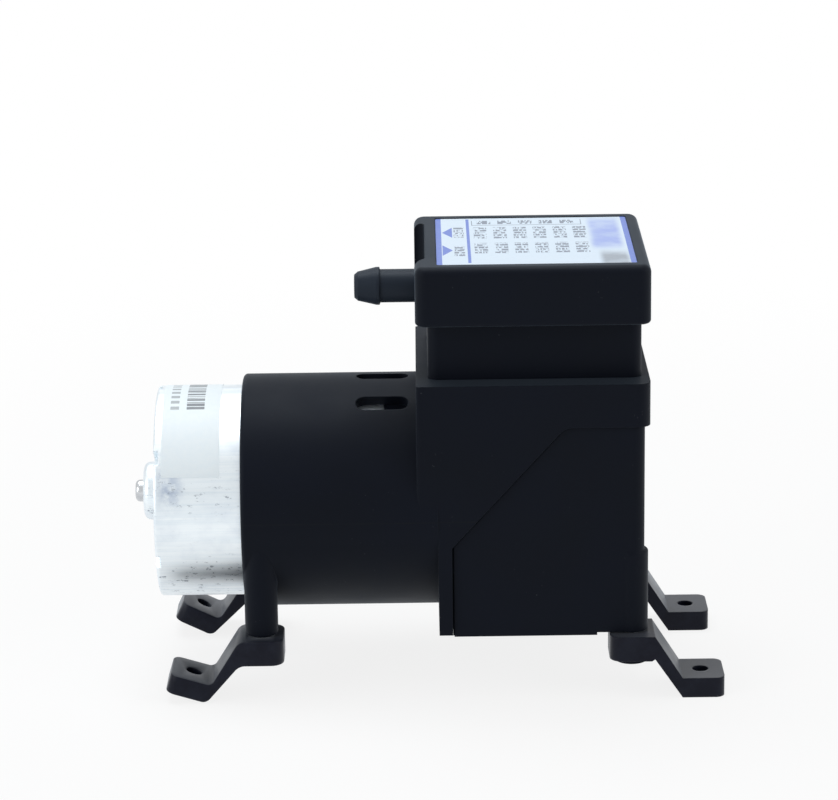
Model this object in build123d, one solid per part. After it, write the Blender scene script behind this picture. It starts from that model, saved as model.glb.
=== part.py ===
from build123d import *
from math import cos, pi, radians, sin
import os

# Diaphragm vacuum pump with a 42 mm brushed motor. Millimetres, +Z up.
# Origin: ground level, in the middle of the four foot holes. +X runs along the
# motor shaft towards the pump head, and -Y is the front.

# ---- clearances -----------------------------------------------------------
seat_gap = 0.05          # between pieces that are pressed or screwed together
running_gap = 0.05       # radial gap of a shaft or peg that turns in a hole
body_gap = 0.3           # between faces of different moving bodies
nest_gap = 0.15          # around the crankcase cover inside the housing
joint_gap = 0.3          # shadow line between the cover and the bulkhead
screw_gap = 0.15         # radial gap around a screw that passes through

# ---- feet and their hole pattern -----------------------------------------
foot_pitch_x = 100.0     # hole centres along the motor
foot_pitch_y = 38.5      # hole centres across the motor
foot_hole_r = 1.6        # clears an M3 screw
pad_thick = 4.0
pad_inner = 3.8          # pad edge towards the post, from the hole
pad_outer = 4.5          # pad edge away from the post, from the hole
pad_corner = 1.8         # rounded outer corners of the pad
foot_width = 11.0
foot_reach = 13.65       # from the post axis to the hole
socket_half = 4.4        # half of the socket's size along the foot
socket_height = 5.0
socket_corner = 2.6      # rounded inner end of the socket
arm_thick = 4.6          # arm's thickness, measured upright
peg_r = 2.4              # peg that the rubber socket is pushed on
peg_length = 4.0         # short pegs, under the motor
peg_waist = 0.35         # depth of the short peg's retaining groove
peg_head_r = 3.4         # round head below the socket, under the pump
peg_head_thick = 1.1
peg_head_edge = 0.4
ride_height = 12.6       # ground to the sockets' upper faces

# ---- posts ----------------------------------------------------------------
post_r = 3.25
post_top_z = 29.3        # shoulder of the posts under the pump
post_edge = 0.6          # rounding of the post's shoulder

# ---- motor ------------------------------------------------------------------
axis_z = 36.25           # shaft height above ground
can_r = 21.0
can_length = 45.1
can_wall = 1.5
can_edge = 0.6           # rounding of the closed end
can_end_x = -56.8        # closed end of the can
bearing_boss_r = 5.8
bearing_boss_length = 3.2
bearing_boss_edge = 1.3
boss_wall = 1.2          # metal left outside the rear bush
rim_slot_count = 6
rim_slot_width = 2.9
rim_slot_depth = 1.0
rim_slot_turn = 35.0     # degrees from the front to the first slot
can_screw_pitch = 25.0   # two tapped holes in the closed end
can_screw_r = 1.5
shaft_r = 2.5
stub_r = 2.2             # turned-down free end of the shaft
stub_length = 1.8
magnet_thick = 3.0
magnet_length = 30.0
magnet_span = 124.0      # degrees
air_gap = 0.5            # between armature and magnets
core_length = 24.0
pole_count = 5
pole_width = 4.6
pole_gap = 2.4           # opening between two pole shoes
shoe_thick = 2.0
core_hub_r = 6.0
coil_end = 3.2           # end turns standing out of the core
coil_inset = 2.55        # from the pole shoes' outer face to the coils
commutator_r = 4.6
commutator_length = 5.0
brush_width = 3.4
brush_thick = 3.0
brush_length = 4.6
brush_gap = 0.1          # running gap between brush and commutator
brush_arm_thick = 0.4
bell_flange = 4.9        # end bell outside the can
bell_spigot = 3.0        # end bell inside the can
front_bearing_r = 8.0    # 5 x 16 x 5 ball bearing
front_bearing_length = 5.0
rear_bush_r = 4.2
rear_bush_length = 5.0
terminal_width = 2.8
terminal_thick = 0.5
terminal_length = 3.6
terminal_spread = 8.0    # each tab from the middle
terminal_rise = 12.0     # above the shaft

# ---- main housing: motor sleeve, bulkhead, deck ---------------------------
sleeve_wall = 2.15
sleeve_x0 = -39.8
sleeve_edge = 0.9
block_x0 = -5.4
block_length = 45.2
block_depth = 46.0
block_corner = 2.5       # upright edges at the free end
block_motor_corner = 0.6 # upright edges over the motor
flange_x0 = -1.4         # bulkhead, motor side
flange_x1 = 1.25         # bulkhead, crank side
base_z = 12.9            # underside of the bulkhead
ledge_z = 63.5           # top of the block
band_height = 8.6        # full-size band under the ledge
cheek_wall = 1.4         # side cheeks that the cover's tongue tucks behind
cheek_low_z = 30.8       # foot of the cheek's slanted edge
cheek_run = 22.0         # how far the slanted edge runs along the motor
cheek_bend = 3.5         # rounding where the slanted edge meets the band
deck_thick = 4.5
seat_ring_wall = 1.8     # ring that the motor's end bell seats on
motor_screw_pitch = 29.0
motor_screw_r = 1.5
motor_screw_head_r = 2.75
motor_screw_head = 2.0
motor_boss_r = 4.4
bulkhead_bore_r = 8.9
vent_length = 10.35
vent_width = 3.7
vent_x = -12.05          # middle of the vents
vent_step = 27.0         # degrees between vents
vent_count = 3
cover_boss_r = 3.2
cover_boss_x = 6.0
cover_boss_y = 13.0
cover_boss_height = 8.0

# ---- crankcase cover ------------------------------------------------------
cover_recess = 0.8       # cover's side faces behind the housing's
cover_end_recess = 1.0   # cover's end face behind the band
cover_drop = 0.55        # cover's underside below the bulkhead's
socket_relief_r = 7.45   # recess in the cover's underside above each foot
cover_wall = 2.0         # wall of the tongue, thicker below it
cover_corner = 2.2
cover_screw_r = 1.25
cover_screw_head_r = 2.4
cover_screw_head = 1.4
cover_screw_length = 8.0

# ---- crank ------------------------------------------------------------------
throw = 2.0              # crank radius: half of the diaphragm's stroke
journal_r = 5.0
crank_bearing_r = 9.5    # 10 x 19 x 5 ball bearing
crank_bearing_length = 5.0
race_wall = 1.35
ball_count = 9
hub_r = 7.0
hub_x0 = 4.6
hub_length = 8.0
weight_r = 13.5
weight_thick = 6.0
set_screw_r = 1.5
clip_thick = 0.6
clip_wall = 1.1

# ---- connecting rod and diaphragm -----------------------------------------
rod_eye_wall = 2.5
rod_thick = 6.0
rod_shank_width = 9.0
rod_web = 2.6            # thickness left between the shank's pockets
rod_flange_r = 10.5
rod_flange_thick = 2.5
diaphragm_r = 17.0
diaphragm_thick = 1.0
diaphragm_free_r = 14.5  # inner edge of the clamped rim
bead_height = 0.6
bead_width = 1.4
clamp_thick = 2.2
clamp_screw_r = 2.0
clamp_screw_head_r = 3.8
clamp_screw_length = 14.0
clamp_face_gap = 0.05

# ---- head -------------------------------------------------------------------
head_length = 41.4
head_depth = 36.0
head_shift = 0.4         # head's middle from the block's middle, along X
head_height = 11.7
head_corner = 2.0
chamber_r = 13.2
chamber_depth = 4.7
valve_spread = 6.2       # each valve from the middle
valve_skirt_r = 3.9
valve_skirt_thick = 0.7
valve_stem_r = 1.1
valve_port_r = 0.7
valve_port_count = 5
valve_port_ring = 2.5
valve_bulb_r = 1.55
valve_bulb_length = 1.4
head_screw_pitch_x = 31.0
head_screw_pitch_y = 30.0
head_screw_r = 1.5
head_screw_head_r = 2.75
head_screw_head = 2.2
head_screw_bite = 7.5    # thread length in the housing's bosses
head_boss_r = 3.2
head_boss_height = 8.0
gasket_thick = 0.8

# ---- top cap ----------------------------------------------------------------
cap_height = 11.6
cap_corner = 2.2
cap_top_edge = 1.6
cap_bottom_edge = 0.7
cap_roof = 2.6
plenum_length = 33.0
plenum_depth = 15.6
plenum_wall = 2.0        # wall between inlet and outlet plenum
label_length = 38.5
label_depth = 39.6
label_x0 = -1.2
label_recess = 0.4
label_thick = 0.25
label_corner = 0.6
scoop_depth = 2.1        # port recess in the cap's left face
scoop_width = 31.4
scoop_floor = 1.4        # above the cap's lower edge
scoop_corner = 1.9
port_spread = 9.0        # each port from the middle
port_z = 80.15
barb_stub_r = 3.25
barb_ridge_r = 3.7
barb_tip_r = 2.6
barb_reach = 11.7        # tip of the barb from the cap's left face
barb_ridge_x = 4.9       # ridge from the tip
barb_bore_r = 1.9
barb_edge = 0.7
barb_seat = 5.2          # length inside the cap
silencer_r = 3.2
silencer_length = 4.6

# ---- places that follow from the sizes ------------------------------------
post_x = foot_pitch_x / 2 - foot_reach
post_y = foot_pitch_y / 2
can_open_x = can_end_x + can_length
bell_x1 = can_open_x + bell_flange
sleeve_bore_r = can_r + running_gap
sleeve_r = sleeve_bore_r + sleeve_wall
block_x1 = block_x0 + block_length
block_mid_x = block_x0 + block_length / 2
head_mid_x = block_mid_x + head_shift
band_z = ledge_z - band_height
deck_z = ledge_z - deck_thick
head_top_z = ledge_z + head_height
cap_top_z = head_top_z + cap_height
rim_z = ledge_z - diaphragm_thick
crank_z = axis_z - throw                      # crank pin at rest, lowest point
dish_z = rim_z - throw                        # diaphragm centre, underside
clamp_z = dish_z + diaphragm_thick + clamp_face_gap
rod_top_z = dish_z - clamp_face_gap
bearing_x0 = head_mid_x - crank_bearing_length / 2
journal_x1 = bearing_x0 + crank_bearing_length + clip_thick + 0.6
magnet_r = can_r - can_wall - seat_gap
core_r = magnet_r - magnet_thick - air_gap
coil_r = core_r - coil_inset
commutator_x1 = can_open_x - bell_spigot - 0.6
core_x1 = commutator_x1 - commutator_length - coil_end - 0.6
core_x0 = core_x1 - core_length
cover_half = block_depth / 2 - cover_recess
cover_x1 = block_x1 - cover_end_recess
tongue_half = block_depth / 2 - cheek_wall - nest_gap
tongue_x1 = block_x1 - cheek_wall - nest_gap
cover_x0 = flange_x1 + seat_gap
cover_top_z = deck_z - nest_gap
cover_base_z = base_z - cover_drop
post_base_z = ride_height + body_gap          # shoulders that stand over the sockets
wall_x = block_x0 + scoop_depth               # face that the ports open in
plenum_z1 = cap_top_z - cap_roof
screw_seat_z = cap_top_z - label_recess - head_screw_head - 0.3


# ---- helpers ----------------------------------------------------------------
def slab(x0, x1, y0, y1, z0, z1):
    """Box between two corners."""
    centre = Pos((x0 + x1) / 2, (y0 + y1) / 2, (z0 + z1) / 2)
    return centre * Box(x1 - x0, y1 - y0, z1 - z0)


def bar_x(r, x0, x1, y=0.0, z=axis_z):
    """Cylinder along X."""
    return Pos((x0 + x1) / 2, y, z) * Rot(0, 90, 0) * Cylinder(r, x1 - x0)


def bar_z(r, z0, z1, x=0.0, y=0.0):
    """Cylinder along Z."""
    return Pos(x, y, (z0 + z1) / 2) * Cylinder(r, z1 - z0)


def rounded_slab(x0, x1, y0, y1, z0, z1, r):
    """Box with rounded upright edges."""
    outline = RectangleRounded(x1 - x0, y1 - y0, r)
    return Pos((x0 + x1) / 2, (y0 + y1) / 2, z0) * extrude(outline, z1 - z0)


def side_plate(points, y0, y1):
    """Outline in X and Z, extruded along Y."""
    outline = make_face(Polyline(*[(x, 0, z) for x, z in points], close=True))
    return Pos(0, y1, 0) * extrude(outline, y1 - y0, dir=(0, -1, 0))


def across_edge(shape, x, z):
    """The edges along Y that pass through one point of the side view."""
    return [e for e in shape.edges().filter_by(Axis.Y)
            if abs(e.center().X - x) < 0.01 and abs(e.center().Z - z) < 0.01]


def turned_x(points, y=0.0, z=axis_z):
    """Profile of (x, radius) points turned about an axis along X."""
    outline = make_face(Polyline(*[(x, r, 0) for x, r in points], close=True))
    return Pos(0, y, z) * revolve(outline, Axis.X)


def turned_z(points, x, y=0.0):
    """Profile of (radius, z) points turned about an upright axis."""
    outline = make_face(Polyline(*[(r, 0, z) for r, z in points], close=True))
    return Pos(x, y, 0) * revolve(outline, Axis.Z)


def corners(pitch_x, pitch_y, mid_x=0.0):
    """The four points of a rectangular pattern."""
    return [(mid_x + sx * pitch_x / 2, sy * pitch_y / 2) for sx in (-1, 1) for sy in (-1, 1)]


def head_screw_places():
    return corners(head_screw_pitch_x, head_screw_pitch_y, block_mid_x)


# ---- feet and posts ---------------------------------------------------------
def motor_post(x, y):
    """Post that runs up into the motor sleeve, with a short grooved peg below."""
    column = bar_z(post_r, post_base_z, axis_z, x, y)
    peg = bar_z(peg_r, post_base_z - peg_length, post_base_z + 1, x, y)
    waist_z = post_base_z - peg_length / 2
    ring = bar_z(peg_r + 1, waist_z - 0.5, waist_z + 0.5, x, y)
    ring -= bar_z(peg_r - peg_waist, waist_z - 0.5, waist_z + 0.5, x, y)
    return column + peg - ring


def pump_post(x, y):
    """Post with a rounded shoulder, and a headed peg that goes through the foot."""
    column = bar_z(post_r, post_base_z, post_top_z, x, y)
    column = fillet(column.edges().filter_by(GeomType.CIRCLE).sort_by(Axis.Z)[-1], post_edge)
    head_z = ride_height - socket_height - body_gap
    peg = bar_z(peg_r, head_z - seat_gap, post_base_z + 1, x, y)
    head = bar_z(peg_head_r, head_z - peg_head_thick, head_z, x, y)
    head = fillet(head.edges().filter_by(GeomType.CIRCLE).sort_by(Axis.Z)[0], peg_head_edge)
    return column + peg + head


def foot(side_x, side_y):
    """Rubber foot: socket, sloping arm and screw pad, in one moulding."""
    socket_z = ride_height - socket_height
    pad_x0 = foot_reach - pad_inner
    pad_x1 = foot_reach + pad_outer
    profile = [
        (-socket_half, socket_z), (-socket_half, ride_height), (socket_half, ride_height),
        (pad_x0, pad_thick), (pad_x1, pad_thick), (pad_x1, 0), (pad_x0, 0),
        (socket_half, ride_height - arm_thick), (socket_half - 0.6, socket_z),
    ]
    body = side_plate(profile, -foot_width / 2, foot_width / 2)
    inner = rounded_slab(-socket_half, pad_x1 + 5, -foot_width / 2, foot_width / 2,
                         0, ride_height, socket_corner)
    outer = rounded_slab(-socket_half - 5, pad_x1, -foot_width / 2, foot_width / 2,
                         0, ride_height, pad_corner)
    body = body & inner & outer
    body -= bar_z(peg_r + running_gap, socket_z - 1, ride_height + 1)
    body -= bar_z(foot_hole_r, -1, pad_thick + 1, foot_reach)
    turn = 0 if side_x > 0 else 180
    return Pos(side_x * post_x, side_y * post_y, 0) * Rot(0, 0, turn) * body


# ---- housing ----------------------------------------------------------------
def vent():
    """One rounded vent through the top of the sleeve, before it is turned."""
    slot = SlotOverall(vent_length, vent_width)
    return Pos(vent_x, 0, sleeve_r - sleeve_wall - 1) * extrude(slot, sleeve_wall + 2)


def main_housing():
    """Motor sleeve, bulkhead, side cheeks and top deck, in one moulding."""
    half = block_depth / 2
    edge = [
        (block_x0, ledge_z), (block_x1, ledge_z), (block_x1, band_z),
        (flange_x1 + cheek_run, band_z), (flange_x1, cheek_low_z), (flange_x1, base_z),
        (flange_x0, base_z), (flange_x0, axis_z), (block_x0, axis_z),
    ]
    block = side_plate(edge, -half, half)
    block = fillet(across_edge(block, flange_x1 + cheek_run, band_z), cheek_bend)
    block &= rounded_slab(block_x0 - 9, block_x1, -half, half, base_z, ledge_z, block_corner)
    block &= rounded_slab(block_x0, block_x1 + 9, -half, half, base_z, ledge_z, block_motor_corner)
    chamber = slab(flange_x1, block_x1 - cheek_wall, -half + cheek_wall, half - cheek_wall,
                   base_z - 1, deck_z)
    sleeve = bar_x(sleeve_r, sleeve_x0, flange_x0)
    sleeve = fillet(sleeve.edges().filter_by(GeomType.CIRCLE).sort_by(Axis.X)[0], sleeve_edge)
    body = block - chamber + sleeve
    for side in (-1, 1):
        body += motor_post(-post_x, side * post_y)
    body -= bar_x(sleeve_bore_r, sleeve_x0 - 1, flange_x0)
    ring = bar_x(sleeve_bore_r, bell_x1, flange_x0) - bar_x(sleeve_bore_r - seat_ring_wall, bell_x1, flange_x0)
    body += ring
    for side in (-1, 1):
        y = side * motor_screw_pitch / 2
        body += bar_x(motor_boss_r, bell_x1, flange_x0, y)
        body -= bar_x(motor_screw_r + seat_gap, bell_x1 - 1, flange_x1 + 1, y)
    body -= bar_x(bulkhead_bore_r, flange_x0 - 1, flange_x1 + 1)
    for i in range(vent_count):
        turn = (i - (vent_count - 1) / 2) * vent_step
        body -= Pos(0, 0, axis_z) * Rot(turn, 0, 0) * vent()
    for x, y in head_screw_places():
        body += bar_z(head_boss_r, deck_z - head_boss_height, deck_z, x, y)
        body -= bar_z(head_screw_r + seat_gap, deck_z - head_boss_height, ledge_z + 1, x, y)
    for side in (-1, 1):
        floor_z = cover_base_z + cover_wall + nest_gap
        y = side * cover_boss_y
        boss = bar_z(cover_boss_r, floor_z, floor_z + cover_boss_height, cover_boss_x, y)
        boss += slab(flange_x1, cover_boss_x, y - cover_boss_r, y + cover_boss_r,
                     floor_z, floor_z + cover_boss_height)
        body += boss
        body -= bar_z(cover_screw_r + seat_gap, floor_z, floor_z + cover_screw_length, cover_boss_x, y)
    rim_r = diaphragm_r + seat_gap
    body -= bar_z(rim_r, rim_z, ledge_z + 1, head_mid_x)
    bead = bar_z(rim_r, rim_z - bead_height, rim_z, head_mid_x)
    bead -= bar_z(diaphragm_r - bead_width - seat_gap, rim_z - bead_height, rim_z, head_mid_x)
    body -= bead
    body -= bar_z(diaphragm_free_r, deck_z - 1, ledge_z + 1, head_mid_x)
    return body


def cover_face():
    """Side outline of the cover's outer skin, a shadow line away from the cheek."""
    x0 = flange_x1 + joint_gap
    top = band_z - nest_gap
    lean = cheek_run / (band_z - cheek_low_z)
    outline = [
        (x0, 0), (x0, cheek_low_z), (x0 + lean * (top - cheek_low_z), top),
        (cover_x1 + 1, top), (cover_x1 + 1, 0),
    ]
    skin = side_plate(outline, -block_depth, block_depth)
    return fillet(across_edge(skin, *outline[2]), cheek_bend)


def crankcase_cover():
    """Tub that closes the crank chamber below the deck, with the two right posts."""
    skin = rounded_slab(cover_x0 - 10, cover_x1, -cover_half, cover_half,
                        cover_base_z, cover_top_z, cover_corner)
    tongue = rounded_slab(cover_x0 - 10, tongue_x1, -tongue_half, tongue_half,
                          cover_base_z, cover_top_z, cover_corner)
    tub = (skin & cover_face()) + tongue
    tub -= slab(cover_x0 - 11, cover_x0, -block_depth, block_depth, 0, cap_top_z)
    tub -= rounded_slab(cover_x0 - 20, tongue_x1 - cover_wall, -tongue_half + cover_wall,
                        tongue_half - cover_wall, cover_base_z + cover_wall, cap_top_z,
                        cover_corner - 1)
    for side in (-1, 1):
        tub -= bar_z(socket_relief_r, cover_base_z - 1, post_base_z, post_x, side * post_y)
        tub += pump_post(post_x, side * post_y)
        y = side * cover_boss_y
        tub -= bar_z(cover_screw_r + seat_gap, cover_base_z - 1, cover_base_z + cover_wall + 1,
                     cover_boss_x, y)
        tub -= bar_z(cover_screw_head_r + seat_gap, cover_base_z - 1,
                     cover_base_z + cover_screw_head, cover_boss_x, y)
    return tub


def cover_screws():
    """Two screws that hold the cover, from below, heads flush."""
    screws = []
    for side in (-1, 1):
        y = side * cover_boss_y
        seat = cover_base_z + cover_screw_head
        head = bar_z(cover_screw_head_r, cover_base_z + seat_gap, seat, cover_boss_x, y)
        screws.append(head + bar_z(cover_screw_r, seat, seat + cover_screw_length, cover_boss_x, y))
    return screws


# ---- head -------------------------------------------------------------------
def valve_ports(x, y, z0, z1):
    """Ring of gas passages under one valve skirt."""
    holes = []
    for i in range(valve_port_count):
        turn = 2 * pi * i / valve_port_count
        holes.append(bar_z(valve_port_r, z0, z1, x + valve_port_ring * cos(turn),
                           y + valve_port_ring * sin(turn)))
    return holes


def head_body():
    """Block between deck and cap: pumping chamber below, valve seats above."""
    x0 = head_mid_x - head_length / 2
    body = rounded_slab(x0, x0 + head_length, -head_depth / 2, head_depth / 2,
                        ledge_z, head_top_z, head_corner)
    roof_z = ledge_z + chamber_depth
    body -= bar_z(chamber_r, ledge_z - 1, roof_z, head_mid_x)
    skirt_z = roof_z + valve_skirt_thick + body_gap
    body -= bar_z(valve_skirt_r + 0.4, roof_z, skirt_z, head_mid_x, -valve_spread)
    bulb_z = roof_z + valve_bulb_length + body_gap
    body -= bar_z(valve_bulb_r + 0.3, roof_z, bulb_z, head_mid_x, valve_spread)
    for side in (-1, 1):
        for hole in valve_ports(head_mid_x, side * valve_spread, roof_z - 1, head_top_z + 1):
            body -= hole
        body -= bar_z(valve_stem_r + seat_gap, roof_z - 1, head_top_z + 1, head_mid_x, side * valve_spread)
    for x, y in head_screw_places():
        body -= bar_z(head_screw_r + screw_gap, ledge_z - 1, head_top_z + 1, x, y)
    return body


def umbrella_valve(x, y, seat_z, up):
    """Rubber umbrella: a thin skirt, and a stem with a bulb that holds it."""
    t = valve_skirt_thick
    recess = valve_bulb_length if up else t
    bulb_z = -(head_height - chamber_depth - recess - body_gap) - seat_gap
    points = [
        (0, t), (valve_skirt_r * 0.5, t), (valve_skirt_r, t * 0.55), (valve_skirt_r, seat_gap),
        (valve_stem_r, seat_gap), (valve_stem_r, bulb_z), (valve_bulb_r, bulb_z - seat_gap),
        (valve_stem_r * 0.7, bulb_z - valve_bulb_length + 0.1), (0, bulb_z - valve_bulb_length),
    ]
    shape = turned_z(points, 0)
    flip = Rot(0, 0, 0) if up else Rot(180, 0, 0)
    return Pos(x, y, seat_z) * flip * shape


def outlet_valve():
    return umbrella_valve(head_mid_x, valve_spread, head_top_z, True)


def inlet_valve():
    seat_z = ledge_z + chamber_depth + valve_skirt_thick + body_gap
    return umbrella_valve(head_mid_x, -valve_spread, seat_z, False)


def plenum(side, grow=0.0):
    """Gas space over one valve, as a block, on the side of -Y or +Y."""
    near = plenum_wall / 2 - grow
    far = plenum_wall / 2 + plenum_depth + grow
    y0, y1 = sorted((side * near, side * far))
    x0 = block_mid_x - plenum_length / 2 - grow
    return rounded_slab(x0, x0 + plenum_length + 2 * grow, y0, y1, head_top_z - 1, plenum_z1, 1.5)


def screw_columns(r, z0, z1):
    """Columns around the head screws, as one shape."""
    places = head_screw_places()
    columns = bar_z(r, z0, z1, *places[0])
    for x, y in places[1:]:
        columns += bar_z(r, z0, z1, x, y)
    return columns


def head_gasket():
    """Rubber sheet between head body and cap, open over both plenums."""
    x0 = head_mid_x - head_length / 2 + 1
    half = head_depth / 2 - 1
    sheet = rounded_slab(x0, x0 + head_length - 2, -half, half, head_top_z,
                         head_top_z + gasket_thick, head_corner)
    for side in (-1, 1):
        opening = plenum(side) - screw_columns(head_boss_r + 0.6, head_top_z - 2, plenum_z1 + 1)
        sheet -= opening
    return sheet - screw_columns(head_screw_r + screw_gap, head_top_z - 1, head_top_z + 2)


def top_cap():
    """Head cover: label bed, two plenums, port recess and screw wells."""
    half = block_depth / 2
    body = rounded_slab(block_x0, block_x1, -half, half, head_top_z, cap_top_z, cap_corner)
    body = fillet(body.faces().sort_by(Axis.Z)[-1].edges(), cap_top_edge)
    body = fillet(body.faces().sort_by(Axis.Z)[0].edges(), cap_bottom_edge)
    bed_z = cap_top_z - label_recess
    body -= rounded_slab(label_x0, label_x0 + label_length, -label_depth / 2, label_depth / 2,
                         bed_z, cap_top_z + 1, label_corner)
    scoop = rounded_slab(block_x0 - 4, wall_x, -scoop_width / 2, scoop_width / 2,
                         head_top_z + scoop_floor, cap_top_z + 1, scoop_corner)
    body -= scoop
    sheet = head_gasket()
    body -= rounded_slab(sheet.bounding_box().min.X - seat_gap, sheet.bounding_box().max.X + seat_gap,
                         sheet.bounding_box().min.Y - seat_gap, sheet.bounding_box().max.Y + seat_gap,
                         head_top_z - 1, head_top_z + gasket_thick + seat_gap, head_corner)
    columns = screw_columns(head_boss_r, head_top_z + gasket_thick + seat_gap, plenum_z1)
    for side in (-1, 1):
        body -= plenum(side)
    body += columns
    body -= bar_x(barb_stub_r + seat_gap, wall_x - 1, wall_x + barb_seat, -port_spread, port_z)
    body -= bar_x(silencer_r + seat_gap, wall_x - 1, wall_x + barb_seat, port_spread, port_z)
    for x, y in head_screw_places():
        body -= bar_z(head_screw_r + screw_gap, head_top_z - 1, cap_top_z, x, y)
        body -= bar_z(head_screw_head_r + 0.25, screw_seat_z, cap_top_z, x, y)
    return body


def hose_barb():
    """Inlet barb for a 6 mm hose, pressed into the cap's front port."""
    tip_x = block_x0 - barb_reach
    ridge_x = tip_x + barb_ridge_x
    inner_x = wall_x + barb_seat
    points = [
        (inner_x, barb_bore_r), (inner_x, barb_stub_r), (ridge_x + 0.15, barb_stub_r),
        (ridge_x, barb_ridge_r), (ridge_x - 0.6, barb_ridge_r), (tip_x + barb_edge, barb_tip_r + 0.25),
        (tip_x, barb_tip_r - barb_edge * 0.5), (tip_x, barb_bore_r),
    ]
    return turned_x(points, -port_spread, port_z)


def exhaust_silencer():
    """Porous plug in the rear port, which lets the exhaust out quietly."""
    face_x = wall_x + 0.3
    plug = bar_x(silencer_r, face_x, face_x + silencer_length, port_spread, port_z)
    return plug - bar_x(silencer_r * 0.55, face_x + 1.4, face_x + silencer_length, port_spread, port_z)


def label_plate():
    """Bare label on the cap, over the screw heads."""
    gap = seat_gap * 2
    bed_z = cap_top_z - label_recess
    return rounded_slab(label_x0 + gap, label_x0 + label_length - gap, -label_depth / 2 + gap,
                        label_depth / 2 - gap, bed_z, bed_z + label_thick, label_corner - gap)


def head_screws():
    """Four long screws through cap and head body into the housing's bosses."""
    screws = []
    for x, y in head_screw_places():
        head = bar_z(head_screw_head_r, screw_seat_z, screw_seat_z + head_screw_head, x, y)
        head -= bar_z(1.2, screw_seat_z + 1.0, screw_seat_z + head_screw_head, x, y)
        screws.append(head + bar_z(head_screw_r, ledge_z - head_screw_bite, screw_seat_z, x, y))
    return screws


# ---- diaphragm and rod -------------------------------------------------------
def diaphragm():
    """Rubber disc: beaded rim on the deck, rolling web, centre drawn down at rest."""
    t = diaphragm_thick
    web_r = rod_flange_r + 0.4
    points = [
        (clamp_screw_r + 0.1, dish_z), (web_r, dish_z), (diaphragm_free_r - 0.3, rim_z - 0.15),
        (diaphragm_free_r - seat_gap, rim_z), (diaphragm_r - bead_width, rim_z),
        (diaphragm_r - bead_width, rim_z - bead_height),
        (diaphragm_r, rim_z - bead_height), (diaphragm_r, rim_z + t), (diaphragm_free_r - 0.8, rim_z + t),
        (web_r - 0.4, dish_z + t), (clamp_screw_r + 0.1, dish_z + t),
    ]
    return turned_z(points, head_mid_x)


def connecting_rod():
    """Eye around the crank bearing, ribbed shank and the flange under the diaphragm."""
    eye_r = crank_bearing_r + rod_eye_wall
    x0 = head_mid_x - rod_thick / 2
    x1 = head_mid_x + rod_thick / 2
    flange_z = rod_top_z - rod_flange_thick
    half = rod_shank_width / 2
    shank = slab(x0, x1, -half, half, crank_z + crank_bearing_r + 1, flange_z + 0.5)
    pocket_z0 = crank_z + eye_r + 1.2
    pocket_z1 = flange_z - 1.0
    cut = (rod_thick - rod_web) / 2
    for a, b in ((x0 - 1, x0 + cut), (x1 - cut, x1 + 1)):
        shank -= slab(a, b, -half + 1.6, half - 1.6, pocket_z0, pocket_z1)
    body = bar_x(eye_r, x0, x1, 0, crank_z) + shank
    cone = [(0, flange_z - 2.4), (half, flange_z - 2.4), (rod_flange_r, flange_z),
            (rod_flange_r, rod_top_z), (0, rod_top_z)]
    body += turned_z(cone, head_mid_x)
    body -= bar_x(crank_bearing_r + seat_gap, x0 - 1, x1 + 1, 0, crank_z)
    body -= bar_z(clamp_screw_r + seat_gap, rod_top_z - clamp_screw_length, rod_top_z + 1, head_mid_x)
    return body


def diaphragm_clamp():
    """Disc that clamps the diaphragm to the rod, with a countersunk hole."""
    sink = clamp_screw_head_r - clamp_screw_r
    top = clamp_z + clamp_thick
    gap = seat_gap
    points = [
        (clamp_screw_r + gap, clamp_z), (rod_flange_r - 1.2, clamp_z), (rod_flange_r, clamp_z + 0.8),
        (rod_flange_r, top - 0.4), (rod_flange_r - 0.4, top), (clamp_screw_head_r + gap, top),
        (clamp_screw_r + gap, top - sink),
    ]
    return turned_z(points, head_mid_x)


def clamp_screw():
    """Countersunk screw down the rod's axis."""
    top = clamp_z + clamp_thick
    sink = clamp_screw_head_r - clamp_screw_r
    foot_z = rod_top_z - clamp_screw_length + 0.5
    points = [(0, foot_z), (clamp_screw_r, foot_z), (clamp_screw_r, top - sink),
              (clamp_screw_head_r, top), (0, top)]
    socket = bar_z(1.0, top - 1.1, top + 1, head_mid_x)
    return turned_z(points, head_mid_x) - socket


# ---- crank ------------------------------------------------------------------
def race(r_in, r_out):
    """One ring of the crank bearing, with its ball groove."""
    x0 = bearing_x0
    ring = bar_x(r_out, x0, x0 + crank_bearing_length, 0, crank_z)
    ring -= bar_x(r_in, x0 - 1, x0 + crank_bearing_length + 1, 0, crank_z)
    groove = Pos(head_mid_x, 0, crank_z) * Rot(0, 90, 0) * Torus(ball_ring_r(), ball_r() + running_gap)
    return ring - groove


def ball_ring_r():
    return (journal_r + crank_bearing_r) / 2


def ball_r():
    return (crank_bearing_r - journal_r) / 2 - race_wall + 0.4


def crank_bearing_inner():
    return race(journal_r + seat_gap, journal_r + race_wall)


def crank_bearing_outer():
    return race(crank_bearing_r - race_wall, crank_bearing_r)


def crank_bearing_balls():
    """Balls of the crank bearing, which travel with the outer ring here."""
    balls = []
    for i in range(ball_count):
        turn = 2 * pi * (i + 0.5) / ball_count
        y = ball_ring_r() * cos(turn)
        z = crank_z + ball_ring_r() * sin(turn)
        balls.append(Pos(head_mid_x, y, z) * Sphere(ball_r()))
    return balls


def clip_x0():
    return bearing_x0 + crank_bearing_length + 0.05


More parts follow.
